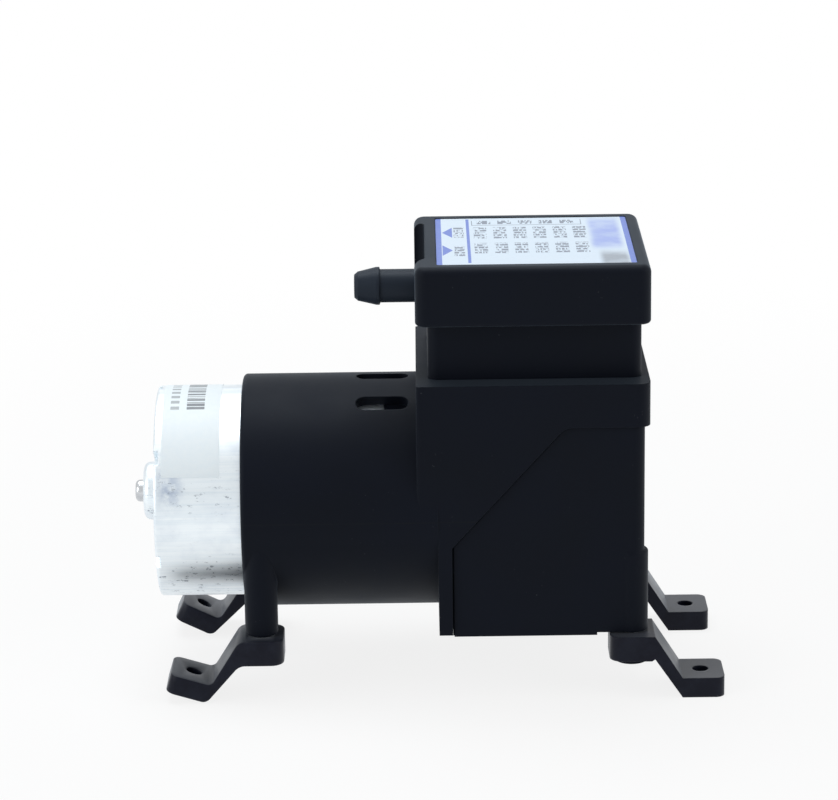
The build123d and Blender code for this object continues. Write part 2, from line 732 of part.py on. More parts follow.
def eccentric():
    """Hub, crank journal and balance weight, in one turned and cast piece."""
    hub_x1 = hub_x0 + hub_length
    weight_x1 = hub_x0 + 0.4 + weight_thick
    body = bar_x(hub_r, hub_x0, hub_x1)
    body += bar_x(journal_r + 1.2, hub_x1, bearing_x0 - 0.05, 0, crank_z)
    body += bar_x(journal_r, bearing_x0 - 0.05, journal_x1, 0, crank_z)
    weight = bar_x(weight_r, hub_x0 + 0.4, weight_x1)
    weight -= slab(hub_x0, weight_x1 + 1, -weight_r - 1, weight_r + 1, axis_z - weight_r - 1, axis_z + 1.5)
    body += weight
    groove = bar_x(journal_r + 1, clip_x0(), clip_x0() + clip_thick, 0, crank_z)
    groove -= bar_x(journal_r - 0.35, clip_x0(), clip_x0() + clip_thick, 0, crank_z)
    body -= groove
    body -= bar_x(shaft_r + 0.02, hub_x0 - 1, journal_x1 + 1)
    screw_x = hub_x0 + 0.4 + weight_thick / 2
    body -= bar_z(set_screw_r + 0.02, axis_z, axis_z + weight_r + 1, screw_x)
    return body


def set_screw():
    """Grub screw through the weight, down on the shaft."""
    x = hub_x0 + 0.4 + weight_thick / 2
    z0 = axis_z + shaft_r + 0.02
    body = bar_z(set_screw_r, z0, axis_z + hub_r + 0.5, x)
    return body - bar_z(0.75, axis_z + hub_r - 1.5, axis_z + hub_r + 1, x)


def bearing_clip():
    """Open ring that keeps the crank bearing on its journal."""
    ring = bar_x(journal_r - 0.3 + clip_wall, clip_x0() + 0.02, clip_x0() + clip_thick - 0.02, 0, crank_z)
    ring -= bar_x(journal_r - 0.3, clip_x0() - 1, clip_x0() + clip_thick + 1, 0, crank_z)
    gap = slab(clip_x0() - 1, clip_x0() + 2, -1.6, 1.6, crank_z - journal_r - 3, crank_z)
    return ring - gap


# ---- motor ------------------------------------------------------------------
def motor_can():
    """Drawn steel can: closed end with bearing boss and rim slots."""
    shell = bar_x(can_r, can_end_x, can_open_x)
    shell = fillet(shell.edges().filter_by(GeomType.CIRCLE).sort_by(Axis.X)[0], can_edge)
    boss = bar_x(bearing_boss_r, can_end_x - bearing_boss_length, can_end_x + 1)
    boss = fillet(boss.edges().filter_by(GeomType.CIRCLE).sort_by(Axis.X)[0], bearing_boss_edge)
    body = shell + boss
    body -= bar_x(can_r - can_wall, can_end_x + can_wall, can_open_x + 1)
    body -= bar_x(rear_bush_r + seat_gap, can_end_x - bearing_boss_length + boss_wall, can_end_x + can_wall + 1)
    body -= bar_x(stub_r + 0.25, can_end_x - bearing_boss_length - 1, can_end_x)
    for i in range(rim_slot_count):
        turn = rim_slot_turn + 360 / rim_slot_count * i
        notch = slab(can_end_x - 1, can_end_x + rim_slot_depth, can_r * 0.78, can_r + 2,
                     -rim_slot_width / 2, rim_slot_width / 2)
        body -= Pos(0, 0, axis_z) * Rot(180 - turn, 0, 0) * notch
    for side in (-1, 1):
        body -= bar_x(can_screw_r, can_end_x - 1, can_end_x + can_wall + 1, 0, axis_z + side * can_screw_pitch / 2)
    return body


def sector(angle, r, x0, x1):
    """Wedge about the shaft, opening upwards."""
    reach = r * 1.5
    half = radians(angle / 2)
    points = [(0, 0), (reach * sin(half), reach * cos(half)), (0, reach * 1.2), (-reach * sin(half), reach * cos(half))]
    outline = make_face(Polyline(*[(x0, y, axis_z + z) for y, z in points], close=True))
    return extrude(outline, x1 - x0, dir=(1, 0, 0))


def motor_magnets():
    """Two arc magnets against the can's wall, above and below the armature."""
    x0 = (core_x0 + core_x1) / 2 - magnet_length / 2
    x1 = x0 + magnet_length
    ring = bar_x(magnet_r, x0, x1) - bar_x(magnet_r - magnet_thick, x0 - 1, x1 + 1)
    upper = ring & sector(magnet_span, can_r, x0, x1)
    lower = Pos(0, 0, axis_z) * Rot(180, 0, 0) * Pos(0, 0, -axis_z) * upper
    return [upper, lower]


def motor_end_bell():
    """Plastic brush plate that closes the can and seats in the housing."""
    x0 = can_open_x - bell_spigot
    body = bar_x(can_r - can_wall - seat_gap, x0, can_open_x)
    body += bar_x(can_r - 0.1, can_open_x, bell_x1)
    body -= bar_x(front_bearing_r + seat_gap, bell_x1 - front_bearing_length, bell_x1 + 1)
    body -= bar_x(shaft_r + 1.0, x0 - 1, bell_x1)
    well = bar_x(can_r - can_wall - 3, x0 - 1, can_open_x) - bar_x(front_bearing_r + 2, x0 - 1, can_open_x)
    body -= well
    for side in (-1, 1):
        body += bar_x(3.2, x0, can_open_x, side * motor_screw_pitch / 2)
        body -= bar_x(motor_screw_r + 0.02, x0 - 1, bell_x1 + 1, side * motor_screw_pitch / 2)
        y = side * terminal_spread
        body -= slab(can_open_x - 4, bell_x1 + 1, y - terminal_width / 2 - 0.02, y + terminal_width / 2 + 0.02,
                     axis_z + terminal_rise - terminal_thick / 2 - 0.02,
                     axis_z + terminal_rise + terminal_thick / 2 + 0.02)
    return body


def ball_bearing(r, bore, x0, x1):
    """Shielded bearing, shown as rings with a recessed shield on both sides."""
    body = bar_x(r, x0, x1) - bar_x(bore, x0 - 1, x1 + 1)
    third = (r - bore) / 3
    shield = bar_x(r - third, x0 - 1, x1 + 1) - bar_x(bore + third, x0 - 1, x1 + 1)
    return body - (shield - bar_x(r, x0 + 0.4, x1 - 0.4))


def front_bearing():
    return ball_bearing(front_bearing_r, shaft_r + running_gap, bell_x1 - front_bearing_length, bell_x1 - 0.02)


def rear_bush():
    """Sintered bush in the can's bearing boss."""
    x0 = can_end_x - bearing_boss_length + boss_wall
    return bar_x(rear_bush_r, x0, x0 + rear_bush_length) - bar_x(shaft_r + running_gap, x0 - 1, x0 + 9)


def terminals():
    """Two solder tabs, standing out of the end bell towards the bulkhead."""
    tabs = []
    for side in (-1, 1):
        y = side * terminal_spread
        z = axis_z + terminal_rise
        tab = slab(can_open_x, bell_x1 + terminal_length, y - terminal_width / 2, y + terminal_width / 2,
                   z - terminal_thick / 2, z + terminal_thick / 2)
        tab -= bar_z(0.6, z - 1, z + 1, bell_x1 + terminal_length - 1.3, y)
        tabs.append(tab)
    return tabs


def brush_x0():
    return commutator_x1 - commutator_length / 2 - brush_width / 2


def carbon_brushes():
    """Two carbon blocks, hollowed to the commutator's curve."""
    brushes = []
    for side in (-1, 1):
        z0 = commutator_r * 0.8
        z1 = commutator_r + brush_gap + brush_length
        lo, hi = sorted((axis_z + side * z0, axis_z + side * z1))
        block = slab(brush_x0(), brush_x0() + brush_width, -brush_thick / 2, brush_thick / 2, lo, hi)
        brushes.append(block - bar_x(commutator_r + brush_gap, brush_x0() - 1, brush_x0() + brush_width + 1))
    return brushes


def brush_arms():
    """Leaf springs on the end bell that press the brushes inwards."""
    arms = []
    for side in (-1, 1):
        z = commutator_r + brush_gap + brush_length
        lo, hi = sorted((axis_z + side * z, axis_z + side * (z + brush_arm_thick)))
        arms.append(slab(brush_x0(), can_open_x - bell_spigot, -brush_thick / 2, brush_thick / 2, lo, hi))
    return arms


def motor_screws():
    """Two screws through the bulkhead into the motor's end bell."""
    screws = []
    for side in (-1, 1):
        y = side * motor_screw_pitch / 2
        head = bar_x(motor_screw_head_r, flange_x1, flange_x1 + motor_screw_head, y)
        head -= bar_x(1.2, flange_x1 + 0.9, flange_x1 + motor_screw_head + 1, y)
        screws.append(head + bar_x(motor_screw_r, can_open_x - 1, flange_x1, y))
    return screws


def motor_shaft():
    """Shaft through the whole motor, with a turned-down rounded free end."""
    stub_x0 = can_end_x - bearing_boss_length - stub_length
    shoulder_x = can_end_x - bearing_boss_length + boss_wall + 0.1
    stub = bar_x(stub_r, stub_x0, shoulder_x)
    stub = fillet(stub.edges().filter_by(GeomType.CIRCLE).sort_by(Axis.X)[0], stub_r * 0.4)
    return stub + bar_x(shaft_r, shoulder_x, journal_x1 - 0.4)


def armature_core():
    """Stack of star-shaped laminations with pole shoes."""
    body = bar_x(core_hub_r, core_x0, core_x1)
    shoes = bar_x(core_r, core_x0, core_x1) - bar_x(core_r - shoe_thick, core_x0 - 1, core_x1 + 1)
    body += shoes
    step = 360 / pole_count
    for i in range(pole_count):
        arm = slab(core_x0, core_x1, -pole_width / 2, pole_width / 2, core_hub_r - 1, core_r - shoe_thick / 2)
        body += Pos(0, 0, axis_z) * Rot(step * i, 0, 0) * arm
    for i in range(pole_count):
        gap = slab(core_x0 - 1, core_x1 + 1, -pole_gap / 2, pole_gap / 2, coil_r, core_r + 1)
        body -= Pos(0, 0, axis_z) * Rot(step * (i + 0.5), 0, 0) * gap
    return body - bar_x(shaft_r + 0.02, core_x0 - 1, core_x1 + 1)


def armature_windings():
    """Copper between the poles, with its end turns."""
    gap = 0.1
    x0 = core_x0 - coil_end
    x1 = core_x1 + coil_end
    body = bar_x(coil_r, x0, x1) - bar_x(core_hub_r + gap, x0 - 1, x1 + 1)
    body = fillet(body.edges().filter_by(GeomType.CIRCLE), 1.2)
    step = 360 / pole_count
    for i in range(pole_count):
        arm = slab(core_x0 - gap, core_x1 + gap, -pole_width / 2 - gap, pole_width / 2 + gap, 0, core_r)
        body -= Pos(0, 0, axis_z) * Rot(step * i, 0, 0) * arm
        split = slab(x0 - 1, x1 + 1, -0.8, 0.8, core_hub_r + 2.5, core_r)
        body -= Pos(0, 0, axis_z) * Rot(step * (i + 0.5), 0, 0) * split
    return body


def commutator():
    """Copper segments on the shaft, one gap for each pole."""
    x0 = commutator_x1 - commutator_length
    body = bar_x(commutator_r, x0, commutator_x1)
    for i in range(pole_count):
        gap = slab(x0 - 1, commutator_x1 + 1, -0.25, 0.25, commutator_r - 0.7, commutator_r + 1)
        body -= Pos(0, 0, axis_z) * Rot(360 / pole_count * (i + 0.5), 0, 0) * gap
    return body - bar_x(shaft_r + 0.02, x0 - 1, commutator_x1 + 1)


# ---- every node ---------------------------------------------------------------
nodes = {
    "main_housing": main_housing, "crankcase_cover": crankcase_cover, "cover_screws": cover_screws,
    "head_body": head_body, "inlet_valve": inlet_valve, "outlet_valve": outlet_valve,
    "head_gasket": head_gasket, "top_cap": top_cap, "hose_barb": hose_barb,
    "exhaust_silencer": exhaust_silencer, "label_plate": label_plate, "head_screws": head_screws,
    "diaphragm": diaphragm, "connecting_rod": connecting_rod, "diaphragm_clamp": diaphragm_clamp,
    "clamp_screw": clamp_screw, "crank_bearing_outer": crank_bearing_outer,
    "crank_bearing_balls": crank_bearing_balls, "crank_bearing_inner": crank_bearing_inner,
    "bearing_clip": bearing_clip, "eccentric": eccentric, "set_screw": set_screw,
    "motor_can": motor_can, "motor_magnets": motor_magnets, "motor_end_bell": motor_end_bell,
    "front_bearing": front_bearing, "rear_bush": rear_bush, "carbon_brushes": carbon_brushes,
    "brush_arms": brush_arms, "terminals": terminals, "motor_screws": motor_screws,
    "motor_shaft": motor_shaft, "armature_core": armature_core,
    "armature_windings": armature_windings, "commutator": commutator,
    "foot_front_left": lambda: foot(-1, -1), "foot_front_right": lambda: foot(1, -1),
    "foot_rear_left": lambda: foot(-1, 1), "foot_rear_right": lambda: foot(1, 1),
}

os.makedirs("parts", exist_ok=True)
for name, make in nodes.items():
    made = make()
    solids = made if isinstance(made, list) else [made]
    pieces = [solid for shape in solids for solid in shape.solids()]
    shape = pieces[0] if len(pieces) == 1 else Compound(children=pieces)
    export_step(shape, f"parts/{name}.step")
    box = shape.bounding_box()
    print(f"{name}: {len(pieces)} solid(s), {shape.volume / 1000:.2f} cm3, "
          f"{box.size.X:.1f} x {box.size.Y:.1f} x {box.size.Z:.1f} mm")
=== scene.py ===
import math

import bmesh
import bpy
from mathutils import Matrix, Vector


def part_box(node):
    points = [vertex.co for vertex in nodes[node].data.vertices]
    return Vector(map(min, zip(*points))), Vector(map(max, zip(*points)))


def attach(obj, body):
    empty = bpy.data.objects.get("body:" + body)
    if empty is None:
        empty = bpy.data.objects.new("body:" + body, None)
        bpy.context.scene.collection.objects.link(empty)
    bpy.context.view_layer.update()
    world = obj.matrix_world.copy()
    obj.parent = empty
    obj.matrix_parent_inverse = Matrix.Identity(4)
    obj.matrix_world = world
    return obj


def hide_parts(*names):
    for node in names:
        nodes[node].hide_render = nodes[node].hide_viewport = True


# Diaphragm vacuum pump on four rubber feet: the looks around the CAD model.
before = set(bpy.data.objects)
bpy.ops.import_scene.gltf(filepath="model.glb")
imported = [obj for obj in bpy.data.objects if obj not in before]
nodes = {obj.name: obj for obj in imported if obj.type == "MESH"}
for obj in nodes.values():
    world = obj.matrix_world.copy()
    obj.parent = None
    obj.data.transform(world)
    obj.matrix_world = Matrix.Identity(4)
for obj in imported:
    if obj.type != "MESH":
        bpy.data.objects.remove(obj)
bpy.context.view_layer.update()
mm = 0.001
shaftHeight = 36.25  # mm above ground, as in the CAD


def deselectAll():
    if bpy.context.object and bpy.context.object.mode != "OBJECT":
        bpy.ops.object.mode_set(mode="OBJECT")
    bpy.ops.object.select_all(action="DESELECT")


def newMaterial(name):
    # an empty node tree with its output and one principled shader
    material = bpy.data.materials.new(name)
    material.use_nodes = True
    tree = material.node_tree
    tree.nodes.clear()
    shader = tree.nodes.new("ShaderNodeBsdfPrincipled")
    out = tree.nodes.new("ShaderNodeOutputMaterial")
    tree.links.new(shader.outputs["BSDF"], out.inputs["Surface"])
    return material, tree, shader


def objectPoint(tree, scale=(1, 1, 1)):
    # object coordinates in metres, scaled so that a pattern can be stretched
    coords = tree.nodes.new("ShaderNodeTexCoord")
    mapping = tree.nodes.new("ShaderNodeMapping")
    mapping.inputs["Scale"].default_value = scale
    tree.links.new(coords.outputs["Object"], mapping.inputs["Vector"])
    return mapping.outputs["Vector"]


def splitPoint(tree):
    # object coordinates as three numbers, in millimetres
    split = tree.nodes.new("ShaderNodeSeparateXYZ")
    tree.links.new(objectPoint(tree), split.inputs["Vector"])
    return [maths(tree, "DIVIDE", split.outputs[axis], mm) for axis in "XYZ"]


def noise(tree, point, scale, detail, rough):
    node = tree.nodes.new("ShaderNodeTexNoise")
    node.inputs["Scale"].default_value = scale
    node.inputs["Detail"].default_value = detail
    node.inputs["Roughness"].default_value = rough
    tree.links.new(point, node.inputs["Vector"])
    return node.outputs["Fac"]


def stretchedNoise(tree, scales, detail, rough):
    # with its own scale on each axis
    return noise(tree, objectPoint(tree, scales), 1.0, detail, rough)


def ramp(tree, value, stops):
    # stops: place and grey
    node = tree.nodes.new("ShaderNodeValToRGB")
    elements = node.color_ramp.elements
    while len(elements) < len(stops):
        elements.new(0.5)
    for element, (place, tone) in zip(elements, stops):
        element.position = place
        element.color = (tone, tone, tone, 1)
    tree.links.new(value, node.inputs["Fac"])
    return node.outputs["Color"]


def mixColour(tree, factor, first, second):
    node = tree.nodes.new("ShaderNodeMix")
    node.data_type = "RGBA"
    for name, value in (("Factor", factor), ("A", first), ("B", second)):
        socket = [s for s in node.inputs if s.name == name and s.enabled][0]
        if isinstance(value, bpy.types.NodeSocket):
            tree.links.new(value, socket)
        else:
            socket.default_value = (*value, 1)
    return [s for s in node.outputs if s.enabled][0]


def maths(tree, how, first, second=None):
    node = tree.nodes.new("ShaderNodeMath")
    node.operation = how
    for i, value in enumerate((first, second)):
        if value is None:
            continue
        if isinstance(value, bpy.types.NodeSocket):
            tree.links.new(value, node.inputs[i])
        else:
            node.inputs[i].default_value = value
    return node.outputs["Value"]


def times(tree, first, *others):
    for other in others:
        first = maths(tree, "MULTIPLY", first, other)
    return first


def brightest(tree, first, *others):
    for other in others:
        first = maths(tree, "MAXIMUM", first, other)
    return first


def layer(tree, colour, tone, mask, share):
    # lays a tone over the colour where the mask is bright
    return mixColour(tree, times(tree, mask, share), colour, tone)


def band(tree, value, low, high):
    # 1 between two values, 0 outside
    above = maths(tree, "GREATER_THAN", value, low)
    return times(tree, above, maths(tree, "LESS_THAN", value, high))


def softStep(tree, value, low, high):
    node = tree.nodes.new("ShaderNodeMapRange")
    node.interpolation_type = "SMOOTHSTEP"
    node.inputs["From Min"].default_value = low
    node.inputs["From Max"].default_value = high
    tree.links.new(value, node.inputs["Value"])
    return node.outputs["Result"]


def softBand(tree, value, low, high, blur):
    # like band, with edges that fade over blur
    rise = softStep(tree, value, low - blur, low + blur)
    fall = softStep(tree, value, high - blur, high + blur)
    return times(tree, rise, maths(tree, "SUBTRACT", 1.0, fall))


def stripes(tree, value, start, pitch, share):
    # repeats every pitch from start, and is 1 over that share of it
    turns = maths(tree, "DIVIDE", maths(tree, "SUBTRACT", value, start), pitch)
    return maths(tree, "LESS_THAN", maths(tree, "FRACT", turns), share)


def cells(tree, first, second, firstSize, secondSize, level):
    # random on and off cells
    node = tree.nodes.new("ShaderNodeTexWhiteNoise")
    node.noise_dimensions = "2D"
    pair = tree.nodes.new("ShaderNodeCombineXYZ")
    for value, size, socket in ((first, firstSize, "X"), (second, secondSize, "Y")):
        steps = maths(tree, "FLOOR", maths(tree, "DIVIDE", value, size))
        tree.links.new(steps, pair.inputs[socket])
    tree.links.new(pair.outputs["Vector"], node.inputs["Vector"])
    return maths(tree, "GREATER_THAN", node.outputs["Value"], level)


def aroundShaft(tree, y, z):
    # degrees above the front, seen from the shaft
    rise = maths(tree, "SUBTRACT", z, shaftHeight)
    turn = maths(tree, "ARCTAN2", rise, times(tree, y, -1.0))
    return times(tree, turn, 180 / math.pi)


def setBump(tree, shader, height, strength, distance, under=None):
    node = tree.nodes.new("ShaderNodeBump")
    node.inputs["Strength"].default_value = strength
    node.inputs["Distance"].default_value = distance
    tree.links.new(height, node.inputs["Height"])
    if under:
        tree.links.new(under, node.inputs["Normal"])
    tree.links.new(node.outputs["Normal"], shader.inputs["Normal"])


def setRough(tree, shader, value, places, rough):
    # the roughness runs from one value to the other between two places of a noise
    tree.links.new(ramp(tree, value, list(zip(places, rough))), shader.inputs["Roughness"])


def setSheen(shader, values):
    shader.inputs["Specular IOR Level"].default_value = values["gloss"]
    shader.inputs["Specular Tint"].default_value = (*values["glossTint"], 1)
    shader.inputs["Sheen Weight"].default_value = values["sheen"]
    shader.inputs["Sheen Roughness"].default_value = values["sheenRough"]
    shader.inputs["Sheen Tint"].default_value = (*values["sheenTint"], 1)


sharpEdge = {
    "samples": 4,
    "stops": [(0.75, 1.0), (0.985, 0.0)],  # how far the two normals agree, and the mask there
}


def edgeMask(tree, radius, values=sharpEdge):
    # bright where a sharp edge is near: the rounded normal leaves the flat one
    edge = tree.nodes.new("ShaderNodeBevel")
    edge.samples = values["samples"]
    edge.inputs["Radius"].default_value = radius
    plain = tree.nodes.new("ShaderNodeNewGeometry")
    dot = tree.nodes.new("ShaderNodeVectorMath")
    dot.operation = "DOT_PRODUCT"
    tree.links.new(edge.outputs["Normal"], dot.inputs[0])
    tree.links.new(plain.outputs["Normal"], dot.inputs[1])
    return ramp(tree, dot.outputs["Value"], values["stops"]), edge.outputs["Normal"]


blackPlastic = {
    "base": (0.0018, 0.0024, 0.0056),
    "paler": 1.5,  # times the base, in the lighter patches
    # lighter edge tone: partly wear, partly a painted highlight along the edges
    "edgeWearAndHighlight": (0.018, 0.021, 0.030),
    "edgeWearAndHighlightShare": 0.5,
    "paleTone": (0.10, 0.105, 0.115),
    "dustShare": 0.30,
    "rough": (0.48, 0.62),
    "gloss": 0.12,
    "glossTint": (0.80, 0.90, 1.0),
    "sheen": 0.11,
    "sheenRough": 0.4,
    "sheenTint": (0.62, 0.80, 1.0),
    "edgeRadius": 0.00035,
    "grain": (5200, 2, 0.6),  # each noise: scale, detail, roughness
    "flow": (55, 4, 0.55),
    "patches": (240, 3, 0.6),
    "specks": (1900, 1, 0.4),
    "clusters": (90, 2, 0.5),
    "grainBump": (0.35, 0.000012),  # strength, then height in metres
    "paleStops": [(0.3, 0.0), (0.75, 1.0)],
    "edgeWearAndHighlightStops": [(0.35, 0.15), (0.7, 1.0)],
    "speckStops": [(0.75, 0.0), (0.775, 1.0)],
    "clusterStops": [(0.5, 0.0), (0.72, 1.0)],
    "roughPlaces": (0.25, 0.8),
    "partingHeight": None,  # mm, on the housing only
    "partingWidth": 0.10,
    "partingBlur": 0.06,
    "partingStops": [(0.3, 0.3), (0.6, 1.0)],
    "partingTone": (0.0048, 0.0056, 0.0080),
}


def makeBlackPlastic(name, **changes):
    # fine spark-eroded mould grain, lighter edges that are partly wear and partly a painted
    # highlight, and a few specks of dust
    values = {**blackPlastic, **changes}
    material, tree, shader = newMaterial(name)
    point = objectPoint(tree)
    grain = noise(tree, point, *values["grain"])
    flow = noise(tree, point, *values["flow"])
    patches = noise(tree, point, *values["patches"])
    edgeWearAndHighlight, softNormal = edgeMask(tree, values["edgeRadius"])
    edgeWearAndHighlight = times(tree, edgeWearAndHighlight, ramp(tree, patches, values["edgeWearAndHighlightStops"]))
    paler = tuple(tone * values["paler"] for tone in values["base"])
    colour = mixColour(tree, ramp(tree, flow, values["paleStops"]), values["base"], paler)
    # lighter edges: partly wear, partly a painted highlight where the edges catch the light
    colour = layer(tree, colour, values["edgeWearAndHighlight"], edgeWearAndHighlight, values["edgeWearAndHighlightShare"])
    specks = ramp(tree, noise(tree, point, *values["specks"]), values["speckStops"])
    clusters = ramp(tree, noise(tree, point, *values["clusters"]), values["clusterStops"])
    colour = layer(tree, colour, values["paleTone"], times(tree, specks, clusters), values["dustShare"])
    if values["partingHeight"] is not None:
        _, _, height = splitPoint(tree)
        low = values["partingHeight"] - values["partingWidth"]
        high = values["partingHeight"] + values["partingWidth"]
        line = softBand(tree, height, low, high, values["partingBlur"])
        broken = ramp(tree, patches, values["partingStops"])
        colour = layer(tree, colour, values["partingTone"], line, broken)
    tree.links.new(colour, shader.inputs["Base Color"])
    setRough(tree, shader, flow, values["roughPlaces"], values["rough"])
    setSheen(shader, values)
    setBump(tree, shader, grain, *values["grainBump"], softNormal)
    return material


rubber = {
    "base": (0.0036, 0.0048, 0.0125),
    "bloom": (0.024, 0.029, 0.045),
    "bloomShare": 0.4,
    "edgeShare": 0.35,
    "rough": (0.32, 0.46),
    "gloss": 0.15,
    "glossTint": (1.0, 1.0, 1.0),
    "sheen": 0.54,
    "sheenRough": 0.3,
    "sheenTint": (0.84, 0.91, 1.0),
    # tone of the painted sheen on the faces that look up, with some dust
    "paleTone": (0.100, 0.106, 0.120),
    "dustAndSheenHeights": (-5.0, 10.0, 1.0),  # mm, then the blur: the painted sheen stops below the sockets, which stay dark in shade
    "dustAndSheenFacing": (0.25, 0.75),  # how far a face looks up
    "edgeRadius": 0.0005,
    "patches": (210, 5, 0.65),
    "grain": (2600, 3, 0.6),
    "grainBump": (0.45, 0.00003),
    "bloomStops": [(0.42, 0.0), (0.78, 1.0)],
    "dustAndSheenStops": [(0.0, 0.7), (1.0, 1.0)],
    "roughPlaces": (0.0, 1.0),
}


def makeRubber(name, values=rubber):
    # matt moulded rubber with a faint grey bloom, lighter edges, and a pale tone on the faces that
    # look up: a painted sheen, with some dust
    material, tree, shader = newMaterial(name)
    point = objectPoint(tree)
    bloom = ramp(tree, noise(tree, point, *values["patches"]), values["bloomStops"])
    edgeWearAndHighlight, softNormal = edgeMask(tree, values["edgeRadius"])
    colour = layer(tree, values["base"], values["bloom"], bloom, values["bloomShare"])
    # lighter edges: partly wear, partly a painted highlight along the edges
    colour = layer(tree, colour, values["bloom"], edgeWearAndHighlight, values["edgeShare"])
    normal = tree.nodes.new("ShaderNodeSeparateXYZ")
    coords = tree.nodes.new("ShaderNodeTexCoord")
    tree.links.new(coords.outputs["Normal"], normal.inputs[0])
    _, _, height = splitPoint(tree)
    # painted sheen on the faces that look up, below the sockets, with some dust
    dustAndSheen = times(tree, softStep(tree, normal.outputs["Z"], *values["dustAndSheenFacing"]),
                  softBand(tree, height, *values["dustAndSheenHeights"]))
    colour = layer(tree, colour, values["paleTone"], dustAndSheen, ramp(tree, bloom, values["dustAndSheenStops"]))
    tree.links.new(colour, shader.inputs["Base Color"])
    setRough(tree, shader, bloom, values["roughPlaces"], values["rough"])
    setSheen(shader, values)
    setBump(tree, shader, noise(tree, point, *values["grain"]), *values["grainBump"], softNormal)
    return material


canSteel = {
    "zinc": (0.905, 0.965, 1.0),
    "dull": (0.76, 0.85, 0.915),
    "smudge": (0.36, 0.44, 0.60),
    "scratch": (0.20, 0.24, 0.30),
    "rough": (0.30, 0.46),
    "cloudShare": 0.22,
    "smudgeShare": 0.8,
    "rubbedShare": 0.35,
    "flakeShares": (0.8, 0.06),  # in the rubbed and low bands, and anywhere
    "smudgePlace": (-55.6, -51.6, 10.0, 26.0),  # along the can, then degrees above the front
    "smudgeBlur": (1.5, 9.0),
    "rubbedBand": (4.0, 28.0, 5.0),  # degrees above the front, then the blur
    "lowBand": (-60.0, -22.0, 6.0),
    "edgeRadius": 0.0003,
    "lines": ((35, 1500, 1500), 4, 0.65),  # scale on each axis, detail, roughness
    "broadLines": ((14, 320, 320), 3, 0.6),
    "flakes": ((420, 900, 900), 6, 0.75),
    "clouds": (130, 5, 0.6),
    "blotches": (420, 4, 0.7),
    "lineBump": (0.2, 0.00001),
    "dullStops": [(0.42, 0.0), (0.80, 1.0)],
    "cloudStops": [(0.5, 0.0), (0.75, 1.0)],
    "blotchStops": [(0.36, 0.1), (0.56, 1.0)],
    "rubbedStops": [(0.3, 0.2), (0.7, 1.0)],
    "flakeStops": [(0.585, 0.0), (0.62, 1.0)],
    "roughPlaces": (0.25, 0.75),
}


def makeCanSteel(name, values=canSteel):
    # bright zinc over drawn steel: fine lines along the can, a rubbed band, a smudge, scratches
    material, tree, shader = newMaterial(name)
    lines = stretchedNoise(tree, *values["lines"])
    broadLines = stretchedNoise(tree, *values["broadLines"])
    clouds = noise(tree, objectPoint(tree), *values["clouds"])
    x, y, z = splitPoint(tree)
    angle = aroundShaft(tree, y, z)
    dull = ramp(tree, lines, values["dullStops"])
    colour = mixColour(tree, dull, values["zinc"], values["dull"])
    clouds = ramp(tree, clouds, values["cloudStops"])
    colour = layer(tree, colour, values["smudge"], clouds, values["cloudShare"])

    x0, x1, a0, a1 = values["smudgePlace"]
    xBlur, angleBlur = values["smudgeBlur"]
    blotches = noise(tree, objectPoint(tree), *values["blotches"])
    smudge = times(tree, softBand(tree, x, x0, x1, xBlur), softBand(tree, angle, a0, a1, angleBlur),
                   ramp(tree, blotches, values["blotchStops"]))
    colour = layer(tree, colour, values["smudge"], smudge, values["smudgeShare"])

    rubbed = times(tree, softBand(tree, angle, *values["rubbedBand"]),
                   ramp(tree, broadLines, values["rubbedStops"]))
    colour = layer(tree, colour, values["dull"], rubbed, values["rubbedShare"])

    flakes = ramp(tree, stretchedNoise(tree, *values["flakes"]), values["flakeStops"])
    inBands, anywhere = values["flakeShares"]
    worst = brightest(tree, rubbed, softBand(tree, angle, *values["lowBand"]))
    share = maths(tree, "ADD", times(tree, worst, inBands), anywhere)
    colour = layer(tree, colour, values["scratch"], flakes, share)

    tree.links.new(colour, shader.inputs["Base Color"])
    setRough(tree, shader, broadLines, values["roughPlaces"], values["rough"])
    shader.inputs["Metallic"].default_value = 1.0
    _, softNormal = edgeMask(tree, values["edgeRadius"])
    setBump(tree, shader, lines, *values["lineBump"], softNormal)
    return material


labelPrint = {
    "film": (0.70, 0.81, 0.92),
    "blue": (0.17, 0.25, 0.66),
    "ink": (0.17, 0.20, 0.27),
    "inkShare": 0.85,
    "stain": (0.45, 0.50, 0.58),
    "stainShare": 0.10,
    "rough": (0.34, 0.46),
    "gloss": 0.35,
    # places are mm from the left end, then a share of the depth from the back
    "edgeStripe": 1.1,
    "innerStripe": (6.1, 6.7, 0.02, 0.955),
    "arrows": [(1.25, 3.25, 0.31, "left"), (1.25, 3.25, 0.69, "right")],
    "arrowHalf": 0.11,
    "notes": (3.55, 5.6, [(0.20, 0.42), (0.60, 0.81)]),
    "columns": (7.5, 29.9, 3.95, 0.66, [(0.20, 0.46), (0.54, 0.77)]),
    "header": (8.3, 28.2, 4.15, 0.66, (0.055, 0.13)),
    "frameLine": (7.2, 29.2, 0.05, 0.15),
    "frameThick": (0.15, 0.008),
    "rows": (0.20, 0.052, 0.72),  # start, pitch and share
    "glyphs": (0.26, 0.026, 0.36),  # length, depth, and the level above which one is inked
    "patchBlue": (30.6, 36.4, 0.06, 0.66, (0.36, 0.45, 0.82)),
    "patchGrey": (31.8, 37.0, 0.76, 1.05, (0.36, 0.41, 0.47)),
    "patchBlur": (0.8, 0.08),
    "clouds": (180, 3, 0.5),
    "grain": (900, 3, 0.6),
    "grainBump": (0.12, 0.00001),
    "cloudStops": [(0.3, 0.55), (0.6, 1.0)],
    "stainStops": [(0.55, 0.0), (0.8, 1.0)],
    "roughPlaces": (0.3, 0.7),
}


